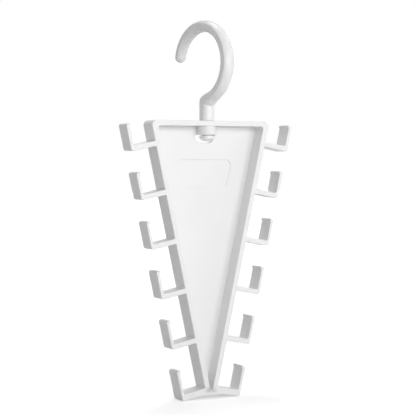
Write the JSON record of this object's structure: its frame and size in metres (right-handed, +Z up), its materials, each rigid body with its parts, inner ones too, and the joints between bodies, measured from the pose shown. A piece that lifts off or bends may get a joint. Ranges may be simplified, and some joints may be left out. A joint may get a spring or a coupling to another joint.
{
  "type": "tie hanger",
  "caption": "Closet hanger for ties: a tapered moulded tray with a row of open tie hooks down each side, carried by a swivelling rod hook.",
  "frame": {"origin": "on the swivel's axis, at the inside top of the rod hook, where the closet rod bears", "axes": "+Z up along the swivel's axis, +X across the tray, +Y out of the tray's flat back; the tray's open face looks towards -Y"},
  "size_m": [0.1404, 0.0625, 0.2873],
  "materials": {
    "tray_plastic": "white moulded plastic, satin",
    "hook_plastic": "white moulded plastic, satin, a little smoother than the tray"
  },
  "bodies": {
    "hook": {"swivel_hook": "hook_plastic"},
    "tray": {"hanger_body": "tray_plastic"}
  },
  "joints": [
    {"name": "swivel", "type": "hinge", "parent": "hook", "child": "tray", "pos_m": [0, 0, -0.07], "axis": [0, 0, 1], "continuous": true}
  ]
}
